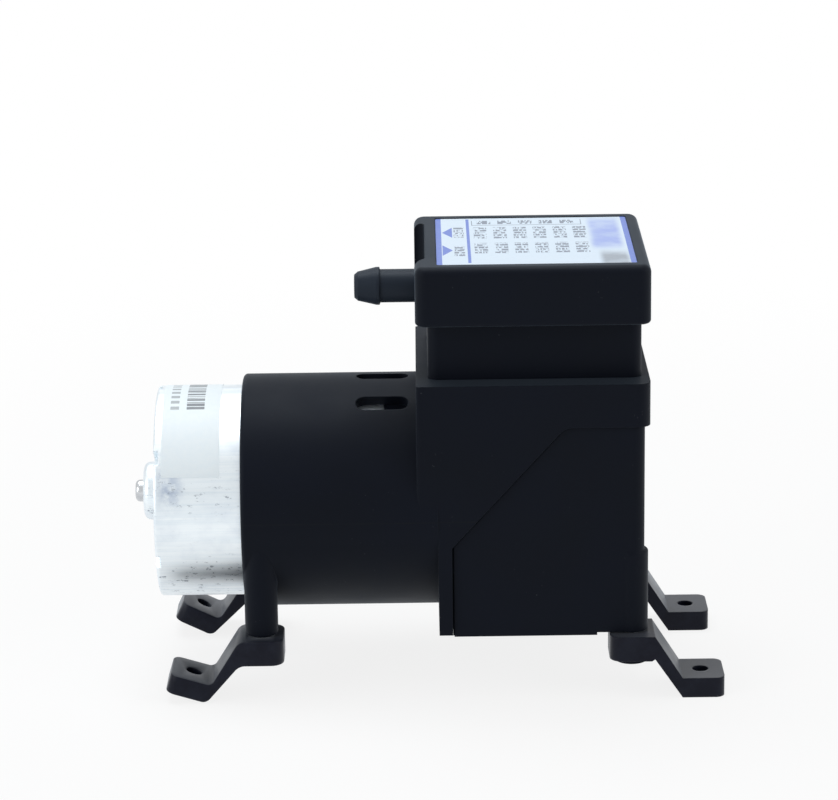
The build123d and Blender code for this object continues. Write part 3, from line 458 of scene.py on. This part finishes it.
def makeLabelFilm(name, low, high, values=labelPrint):
    # printed film: two blue edges, two arrows, grey rows with no words
    material, tree, shader = newMaterial(name)
    x, y, _ = splitPoint(tree)
    along = maths(tree, "SUBTRACT", x, low[0] / mm)
    length = (high[0] - low[0]) / mm
    fromBack = maths(tree, "SUBTRACT", high[1] / mm, y)
    back = maths(tree, "DIVIDE", fromBack, (high[1] - low[1]) / mm)

    def within(x0, x1, b0, b1):
        return times(tree, band(tree, along, x0, x1), band(tree, back, b0, b1))

    edge = values["edgeStripe"]
    blue = [band(tree, along, -1, edge), band(tree, along, length - edge, length + 1),
            within(*values["innerStripe"])]
    for x0, x1, middle, way in values["arrows"]:
        off = maths(tree, "ABSOLUTE", maths(tree, "SUBTRACT", back, middle))
        off = maths(tree, "DIVIDE", off, values["arrowHalf"])
        start, end = (x0, x1) if way == "left" else (x1, x0)
        opening = maths(tree, "DIVIDE", maths(tree, "SUBTRACT", along, start), end - start)
        inside = maths(tree, "LESS_THAN", off, opening)
        blue.append(times(tree, inside, within(x0, x1, 0, 1)))

    rows = stripes(tree, back, *values["rows"])
    glyphs = cells(tree, along, back, *values["glyphs"])
    x0, x1, blocks = values["notes"]
    text = [within(x0, x1, *block) for block in blocks]
    x0, x1, pitch, share, blocks = values["columns"]
    for block in blocks:
        text.append(times(tree, within(x0, x1, *block), stripes(tree, along, x0, pitch, share)))
    body = times(tree, brightest(tree, *text), rows, glyphs)
    x0, x1, pitch, share, block = values["header"]
    head = times(tree, within(x0, x1, *block), stripes(tree, along, x0, pitch, share), glyphs)
    x0, x1, top, bottom = values["frameLine"]
    wide, deep = values["frameThick"]
    lines = [within(x0, x1, bottom, bottom + deep), within(x0, x0 + wide, top, bottom),
             within(x1 - wide, x1, top, bottom)]
    ink = brightest(tree, body, head, *lines)

    colour = values["film"]
    xBlur, backBlur = values["patchBlur"]
    for patch in ("patchBlue", "patchGrey"):
        x0, x1, b0, b1, tone = values[patch]
        mask = times(tree, softBand(tree, along, x0, x1, xBlur),
                     softBand(tree, back, b0, b1, backBlur))
        clouds = noise(tree, objectPoint(tree), *values["clouds"])
        colour = layer(tree, colour, tone, mask, ramp(tree, clouds, values["cloudStops"]))
    colour = mixColour(tree, brightest(tree, *blue), colour, values["blue"])
    colour = layer(tree, colour, values["ink"], ink, values["inkShare"])
    grain = noise(tree, objectPoint(tree), *values["grain"])
    stains = ramp(tree, grain, values["stainStops"])
    colour = layer(tree, colour, values["stain"], stains, values["stainShare"])
    tree.links.new(colour, shader.inputs["Base Color"])
    setRough(tree, shader, grain, values["roughPlaces"], values["rough"])
    shader.inputs["Specular IOR Level"].default_value = values["gloss"]
    setBump(tree, shader, grain, *values["grainBump"])
    return material


canSticker = {
    "radius": 21.03,
    "thick": 0.06,
    "ends": (-55.2, -43.9),
    "angles": (24.0, 132.0),  # degrees above the front
    "sides": 360,
    "cutEdge": 0.012,
    "cutAngle": 60,
    "smoothAngle": 30,
    "paper": (0.895, 0.965, 1.0),
    "fibreTone": (0.80, 0.91, 0.98),
    "ink": (0.11, 0.12, 0.14),
    "rough": (0.42, 0.56),
    "gloss": 0.3,
    "bars": (-50.5, -47.0, 66.0, 104.0),  # mm along the can, then degrees
    "barCells": (0.62, 100.0, 0.45),  # degrees, mm, and the level above which one is inked
    "barShare": 0.8,
    "dashes": (-53.7, -52.0, 66.0, 104.0),
    "dashPitch": 5.4,
    "dashLength": 0.5,
    "dashShare": 0.55,
    "fibre": ((900, 900, 900), 4, 0.6),
    "fibreBump": (0.15, 0.00001),
    "fibreStops": [(0.4, 0.0), (0.8, 0.35)],
    "roughPlaces": (0.3, 0.7),
}


def makeStickerPaper(name, values=canSticker):
    # matt white paper with a block of bars and a row of dashes
    material, tree, shader = newMaterial(name)
    x, y, z = splitPoint(tree)
    angle = aroundShaft(tree, y, z)

    def within(x0, x1, a0, a1):
        return times(tree, band(tree, x, x0, x1), band(tree, angle, a0, a1))

    bars = times(tree, within(*values["bars"]), cells(tree, angle, x, *values["barCells"]))
    firstDash = values["dashes"][2]
    dashes = times(tree, within(*values["dashes"]),
                   stripes(tree, angle, firstDash, values["dashPitch"], values["dashLength"]))
    fibre = stretchedNoise(tree, *values["fibre"])
    colour = mixColour(tree, ramp(tree, fibre, values["fibreStops"]), values["paper"],
                       values["fibreTone"])
    ink = brightest(tree, times(tree, bars, values["barShare"]),
                    times(tree, dashes, values["dashShare"]))
    colour = mixColour(tree, ink, colour, values["ink"])
    tree.links.new(colour, shader.inputs["Base Color"])
    setRough(tree, shader, fibre, values["roughPlaces"], values["rough"])
    shader.inputs["Specular IOR Level"].default_value = values["gloss"]
    setBump(tree, shader, fibre, *values["fibreBump"])
    return material


plainMetal = {
    "metallic": 1.0,
    "gloss": 0.5,
    "roughSpread": (0.8, 1.25),
    "edgeRadius": 0.00025,
    "grainBump": (0.2, 0.00001),
}
plainSolid = {
    "metallic": 0.0,
    "gloss": 0.5,
    "roughSpread": (0.85, 1.15),
    "edgeRadius": 0.0003,
    "grainBump": (0.25, 0.00002),
}
plainFelt = {**plainSolid, "gloss": 0.2}
plainGrain = {
    "noise": (4, 0.6),  # detail, roughness
    "colourStops": [(0.3, 0.0), (0.75, 1.0)],
    "roughPlaces": (0.2, 0.8),
}
plainFinishes = {  # what it is, its colour and darker grain, roughness, grain scale
    "shaftSteel": (plainMetal, (0.72, 0.74, 0.76), (0.50, 0.52, 0.55), 0.26, 600),
    "screwSteel": (plainMetal, (0.60, 0.60, 0.58), (0.40, 0.40, 0.39), 0.34, 600),
    "bearingSteel": (plainMetal, (0.66, 0.67, 0.69), (0.46, 0.47, 0.50), 0.22, 600),
    "castZinc": (plainMetal, (0.55, 0.56, 0.57), (0.38, 0.39, 0.41), 0.42, 600),
    "bronze": (plainMetal, (0.58, 0.40, 0.22), (0.38, 0.24, 0.12), 0.45, 600),
    "copper": (plainMetal, (0.72, 0.34, 0.18), (0.48, 0.20, 0.10), 0.30, 600),
    "brass": (plainMetal, (0.74, 0.56, 0.26), (0.52, 0.38, 0.16), 0.32, 600),
    "laminations": (plainMetal, (0.30, 0.30, 0.31), (0.18, 0.18, 0.19), 0.46, 2200),
    "magnet": (plainSolid, (0.045, 0.045, 0.048), (0.075, 0.073, 0.072), 0.72, 900),
    "carbon": (plainSolid, (0.030, 0.030, 0.032), (0.055, 0.055, 0.057), 0.60, 1500),
    "feltPlug": (plainFelt, (0.62, 0.61, 0.58), (0.42, 0.41, 0.39), 0.92, 2600),
}


def makePlain(name, kind, colour, darker, rough, scale, values=plainGrain):
    # turned, stamped, pressed or sintered: one colour with a light grain
    material, tree, shader = newMaterial(name)
    grain = noise(tree, objectPoint(tree), scale, *values["noise"])
    grainColour = mixColour(tree, ramp(tree, grain, values["colourStops"]), colour, darker)
    tree.links.new(grainColour, shader.inputs["Base Color"])
    spread = [rough * share for share in kind["roughSpread"]]
    setRough(tree, shader, grain, values["roughPlaces"], spread)
    shader.inputs["Metallic"].default_value = kind["metallic"]
    shader.inputs["Specular IOR Level"].default_value = kind["gloss"]
    _, softNormal = edgeMask(tree, kind["edgeRadius"])
    setBump(tree, shader, grain, *kind["grainBump"], softNormal)
    return material


# the cap's brighter edge tone is a painted highlight along its rounded top edges
capChanges = {"edgeWearAndHighlight": (0.050, 0.056, 0.070), "rough": (0.50, 0.64), "sheen": 0.20}
barbChanges = {"base": (0.011, 0.015, 0.023), "gloss": 0.17, "rough": (0.40, 0.54)}
partingLine = shaftHeight - 0.05

finishes = {
    "housingPlastic": makeBlackPlastic("housingPlastic", partingHeight=partingLine),
    "blackPlastic": makeBlackPlastic("blackPlastic"),
    "capPlastic": makeBlackPlastic("capPlastic", **capChanges),
    "barbPlastic": makeBlackPlastic("barbPlastic", **barbChanges),
    "footRubber": makeRubber("footRubber"),
    "canSteel": makeCanSteel("canSteel"),
    "labelFilm": makeLabelFilm("labelFilm", *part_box("label_plate")),
    "stickerPaper": makeStickerPaper("stickerPaper"),
    "diaphragmRubber": makeRubber("diaphragmRubber"),
}
for name, plain in plainFinishes.items():
    finishes[name] = makePlain(name, *plain)
print("finishes ready:", len(finishes))

nodeFinish = {
    "main_housing": "housingPlastic",
    "crankcase_cover": "blackPlastic",
    "head_body": "blackPlastic",
    "top_cap": "capPlastic",
    "hose_barb": "barbPlastic",
    "cover_screws": "screwSteel",
    "head_screws": "screwSteel",
    "motor_screws": "screwSteel",
    "clamp_screw": "screwSteel",
    "set_screw": "screwSteel",
    "inlet_valve": "diaphragmRubber",
    "outlet_valve": "diaphragmRubber",
    "head_gasket": "diaphragmRubber",
    "diaphragm": "diaphragmRubber",
    "exhaust_silencer": "feltPlug",
    "label_plate": "labelFilm",
    "motor_can": "canSteel",
    "motor_magnets": "magnet",
    "motor_end_bell": "blackPlastic",
    "front_bearing": "bearingSteel",
    "rear_bush": "bronze",
    "carbon_brushes": "carbon",
    "brush_arms": "brass",
    "terminals": "brass",
    "motor_shaft": "shaftSteel",
    "armature_core": "laminations",
    "armature_windings": "copper",
    "commutator": "copper",
    "eccentric": "castZinc",
    "bearing_clip": "shaftSteel",
    "crank_bearing_inner": "bearingSteel",
    "crank_bearing_outer": "bearingSteel",
    "crank_bearing_balls": "bearingSteel",
    "connecting_rod": "castZinc",
    "diaphragm_clamp": "castZinc",
    "foot_front_left": "footRubber",
    "foot_front_right": "footRubber",
    "foot_rear_left": "footRubber",
    "foot_rear_right": "footRubber",
}
for name, finish in nodeFinish.items():  # CAD nodes keep their shapes and get a finish
    slots = nodes[name].data.materials
    slots.clear()
    slots.append(finishes[finish])
print("CAD nodes finished:", len(nodeFinish), "of", len(nodes))


def pick(obj, test, kind="faces"):
    # in edit mode: selects what passes a test of its middle point and spread, in millimetres
    bpy.ops.mesh.select_all(action="DESELECT")
    mesh = bmesh.from_edit_mesh(obj.data)
    mode = {"faces": "FACE", "edges": "EDGE", "verts": "VERT"}[kind]
    bpy.context.tool_settings.mesh_select_mode = (mode == "VERT", mode == "EDGE", mode == "FACE")
    for item in getattr(mesh, kind):
        corners = [item] if kind == "verts" else item.verts
        middle = sum((v.co for v in corners), Vector()) / len(corners) / mm
        spread = [max(v.co[i] for v in corners) - min(v.co[i] for v in corners) for i in range(3)]
        item.select_set(test(middle, [s / mm for s in spread]))
    mesh.select_flush_mode()
    bmesh.update_edit_mesh(obj.data)


def applyModifier(obj, name, kind, **settings):
    modifier = obj.modifiers.new(name, kind)
    for key, value in settings.items():
        setattr(modifier, key, value)
    bpy.context.view_layer.objects.active = obj
    bpy.ops.object.modifier_apply(modifier=name)


def cutHole(obj, radius, middle, drill, tilt=0.0):
    # drills a round hole, tilted about Y
    sides, depth = drill
    deselectAll()
    bpy.ops.mesh.primitive_cylinder_add(vertices=sides, radius=radius * mm, depth=depth * mm,
                                        location=[c * mm for c in middle], rotation=(0, tilt, 0))
    cutter = bpy.context.object
    applyModifier(obj, "hole", "BOOLEAN", operation="DIFFERENCE", solver="EXACT", object=cutter)
    bpy.data.objects.remove(cutter, do_unlink=True)


def finishPiece(obj, finish, body, smoothAngle):
    obj.data.materials.append(finishes[finish])
    deselectAll()
    obj.select_set(True)
    bpy.context.view_layer.objects.active = obj
    bpy.ops.object.shade_smooth_by_angle(angle=math.radians(smoothAngle))
    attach(obj, body)


footShape = {
    "socketHalf": 4.4,
    "socketLow": 7.6,
    "top": 12.6,
    "halfWidth": 5.5,
    "padThick": 4.0,
    "padLength": 8.3,
    "holeFromInner": 3.8,
    "screwHole": 1.6,
    "pegHole": 2.45,
    "drill": (64, 9),  # sides and depth
    "padCorner": (1.8, 8),  # radius and steps
    "socketCorner": (2.6, 10),
    "bend": (1.1, 5),
    "softEdge": (0.32, 3),
    "softAngle": 32,
    "smoothAngle": 35,
}
flexedFeet = {  # the two feet under the motor stand a little flexed: pad tilted, outer end up
    "foot_front_left": {
        "piece": "flexedFootFrontLeft",
        "post": (-36.35, -19.25),
        "tilt": 17.0,
        "start": 11.05,
        "lift": 0.0,
    },
    "foot_rear_left": {
        "piece": "flexedFootRearLeft",
        "post": (-36.35, 19.25),
        "tilt": 26.0,
        "start": 12.05,
        "lift": 0.25,
    },
}


def makeFlexedFoot(node, flex, shape=footShape):
    # built beside its post: socket, then the sloping arm, then the tilted pad
    half, wide = shape["socketHalf"], shape["halfWidth"]
    low, top = shape["socketLow"], shape["top"]
    start, lift, thick, long = flex["start"], flex["lift"], shape["padThick"], shape["padLength"]
    tilt = math.radians(flex["tilt"])
    run, rise = math.cos(tilt), math.sin(tilt)
    near = 0.01

    def roundEdges(test, size):
        pick(foot, test, "edges")
        radius, steps = size
        bpy.ops.mesh.bevel(offset=radius * mm, segments=steps, profile=0.5)

    deselectAll()
    bpy.ops.mesh.primitive_cube_add(size=mm, location=(0, 0, (low + top) / 2 * mm),
                                    scale=(2 * half, 2 * wide, top - low))
    foot = bpy.context.object
    foot.name = flex["piece"]
    bpy.ops.object.transform_apply(location=True, rotation=True, scale=True)
    bpy.ops.object.mode_set(mode="EDIT")
    pick(foot, lambda p, s: p.x > half - near)
    armReach = ((start - half) * mm, 0, (lift - low) * mm)
    bpy.ops.mesh.extrude_region_move(TRANSFORM_OT_translate={"value": armReach})
    pick(foot, lambda p, s: p.x > start - near and p.z > lift + 1, "verts")
    bpy.ops.transform.translate(value=(-thick * rise * mm, 0, (thick * run - (top - low)) * mm))
    pick(foot, lambda p, s: p.x > (start + half) / 2 and s[0] < thick * rise + 0.1 and s[1] > wide)
    padReach = (long * run * mm, 0, long * rise * mm)
    bpy.ops.mesh.extrude_region_move(TRANSFORM_OT_translate={"value": padReach})

    innerTop = (start - thick * rise, lift + thick * run)
    bends = [(half, top), (half, low), (start, lift), innerTop]

    def isBend(p, s):
        return s[1] > wide and any(abs(p.x - x) < 0.05 and abs(p.z - z) < 0.05 for x, z in bends)

    def isSocketCorner(p, s):
        return p.x < -half + near and s[2] > 1 and s[1] < near

    outer = start + long * run - thick * rise / 2

    def isPadCorner(p, s):
        return abs(p.x - outer) < 0.2 and s[2] > 1 and s[1] < near

    roundEdges(isBend, shape["bend"])
    roundEdges(isSocketCorner, shape["socketCorner"])
    roundEdges(isPadCorner, shape["padCorner"])
    bpy.ops.object.mode_set(mode="OBJECT")

    cutHole(foot, shape["pegHole"], (0, 0, (low + top) / 2), shape["drill"])
    reach = shape["holeFromInner"]
    middle = (start + reach * run - thick / 2 * rise, 0, lift + reach * rise + thick / 2 * run)
    cutHole(foot, shape["screwHole"], middle, shape["drill"], -tilt)
    softRadius, softSteps = shape["softEdge"]
    applyModifier(foot, "softEdge", "BEVEL", width=softRadius * mm, segments=softSteps,
                  limit_method="ANGLE", angle_limit=math.radians(shape["softAngle"]))
    deselectAll()
    foot.select_set(True)
    bpy.context.view_layer.objects.active = foot
    foot.rotation_euler = (0, 0, math.pi)
    foot.location = (flex["post"][0] * mm, flex["post"][1] * mm, 0)
    bpy.ops.object.transform_apply(location=True, rotation=True, scale=True)
    finishPiece(foot, "footRubber", node, shape["smoothAngle"])
    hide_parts(node)


for node, flex in flexedFeet.items():
    makeFlexedFoot(node, flex)
print("flexed feet:", len(flexedFeet))


def makeCanSticker(values=canSticker):
    # a paper sticker over the can's upper front
    x0, x1 = values["ends"]
    a0, a1 = values["angles"]
    deselectAll()
    bpy.ops.mesh.primitive_cylinder_add(
        vertices=values["sides"], radius=values["radius"] * mm, depth=(x1 - x0) * mm,
        end_fill_type="NOTHING", location=((x0 + x1) / 2 * mm, 0, shaftHeight * mm),
        rotation=(0, math.pi / 2, 0))
    sticker = bpy.context.object
    sticker.name = "canSticker"
    bpy.ops.object.transform_apply(location=True, rotation=True, scale=True)
    bpy.ops.object.mode_set(mode="EDIT")

    def outside(p, s):
        turn = math.degrees(math.atan2(p.z - shaftHeight, -p.y))
        return not a0 < turn < a1

    pick(sticker, outside)
    bpy.ops.mesh.delete(type="FACE")
    bpy.ops.object.mode_set(mode="OBJECT")
    applyModifier(sticker, "paper", "SOLIDIFY", thickness=values["thick"] * mm, offset=1.0)
    applyModifier(sticker, "cutEdge", "BEVEL", width=values["cutEdge"] * mm, segments=1,
                  limit_method="ANGLE", angle_limit=math.radians(values["cutAngle"]))
    finishPiece(sticker, "stickerPaper", "pump", values["smoothAngle"])


makeCanSticker()
print("sticker on the motor can ready")

stage = {
    "floorSize": 6.0,
    "floorTone": 0.86,
    "shadowShare": 0.16,
    "shadowReach": (0.10, 0.34),  # metres from the middle over which the floor turns plain white
    "world": 0.42,
    "soft": [  # name, place, aims at, size, watts, tint
        ("topSoft", (-0.10, 0.16, 0.72), (0, 0, 0.04), 0.42, 3.1, (0.95, 0.98, 1.0)),
        ("leftSoft", (-0.75, -0.45, 0.35), (-0.03, 0, 0.04), 0.55, 2.4, (0.95, 0.98, 1.0)),
        ("rightSoft", (0.80, -0.25, 0.40), (0.02, 0, 0.04), 0.5, 1.8, (1.0, 1.0, 1.0)),
    ],
}
camera = {
    "place": (-0.00426, -0.64997, 0.24136),
    "down": 16.05,
    "yaw": -0.05,
    "roll": -0.78,
    "lens": 146.06,
    "sensor": 36,
    "clip": (0.01, 20),
}


def seenShare(tree, share):
    # 1 for camera, glossy and transmission rays, times share
    path = tree.nodes.new("ShaderNodeLightPath")
    rays = [path.outputs[f"Is {ray} Ray"] for ray in ("Camera", "Glossy", "Transmission")]
    return times(tree, brightest(tree, *rays), share)


def makeFloor(values=stage):
    # keeps the object's shadow near it and turns plain white further out
    material = bpy.data.materials.new("studioWhite")
    material.use_nodes = True
    tree = material.node_tree
    tree.nodes.clear()
    matt = tree.nodes.new("ShaderNodeBsdfDiffuse")
    tone = values["floorTone"]
    matt.inputs["Color"].default_value = (tone, tone, tone, 1)
    glow = tree.nodes.new("ShaderNodeEmission")
    glow.inputs["Strength"].default_value = 1.0
    mix = tree.nodes.new("ShaderNodeMixShader")
    out = tree.nodes.new("ShaderNodeOutputMaterial")
    distance = tree.nodes.new("ShaderNodeVectorMath")
    distance.operation = "LENGTH"
    tree.links.new(objectPoint(tree), distance.inputs[0])
    fade = softStep(tree, distance.outputs["Value"], *values["shadowReach"])
    share = maths(tree, "ADD", times(tree, fade, values["shadowShare"]), 1 - values["shadowShare"])
    tree.links.new(seenShare(tree, share), mix.inputs["Fac"])
    tree.links.new(matt.outputs["BSDF"], mix.inputs[1])
    tree.links.new(glow.outputs["Emission"], mix.inputs[2])
    tree.links.new(mix.outputs["Shader"], out.inputs["Surface"])

    deselectAll()
    bpy.ops.mesh.primitive_plane_add(size=values["floorSize"], location=(0, 0, 0))
    floor = bpy.context.object
    floor.name = "floor"
    floor.data.materials.append(material)


def makeLight(values=stage):
    # an even pale world and three soft lamps
    world = bpy.data.worlds.new("studio")
    bpy.context.scene.world = world
    world.use_nodes = True
    tree = world.node_tree
    tree.nodes.clear()
    background = tree.nodes.new("ShaderNodeBackground")
    level = maths(tree, "ADD", seenShare(tree, 1 - values["world"]), values["world"])
    tree.links.new(level, background.inputs["Strength"])
    out = tree.nodes.new("ShaderNodeOutputWorld")
    tree.links.new(background.outputs["Background"], out.inputs["Surface"])

    for name, place, aim, size, watts, tint in values["soft"]:
        lamp = bpy.data.lights.new(name, "AREA")
        lamp.shape = "SQUARE"
        lamp.size = size
        lamp.energy = watts
        lamp.color = tint
        holder = bpy.data.objects.new(name, lamp)
        bpy.context.scene.collection.objects.link(holder)
        holder.location = place
        holder.rotation_mode = "QUATERNION"
        holder.rotation_quaternion = (Vector(aim) - Vector(place)).to_track_quat("-Z", "Y")


def makeCamera(values=camera):
    lens = bpy.data.cameras.new("camera")
    lens.sensor_width = values["sensor"]
    lens.lens = values["lens"]
    lens.clip_start, lens.clip_end = values["clip"]
    holder = bpy.data.objects.new("camera", lens)
    bpy.context.scene.collection.objects.link(holder)
    holder.matrix_world = (
        Matrix.Translation(values["place"])
        @ Matrix.Rotation(math.radians(-values["yaw"]), 4, "Z")
        @ Matrix.Rotation(math.radians(90 - values["down"]), 4, "X")
        @ Matrix.Rotation(math.radians(values["roll"]), 4, "Z")
    )
    bpy.context.scene.camera = holder


makeFloor()
makeLight()
makeCamera()
bpy.context.scene.view_settings.view_transform = "Standard"
print("stage, lights and camera ready")
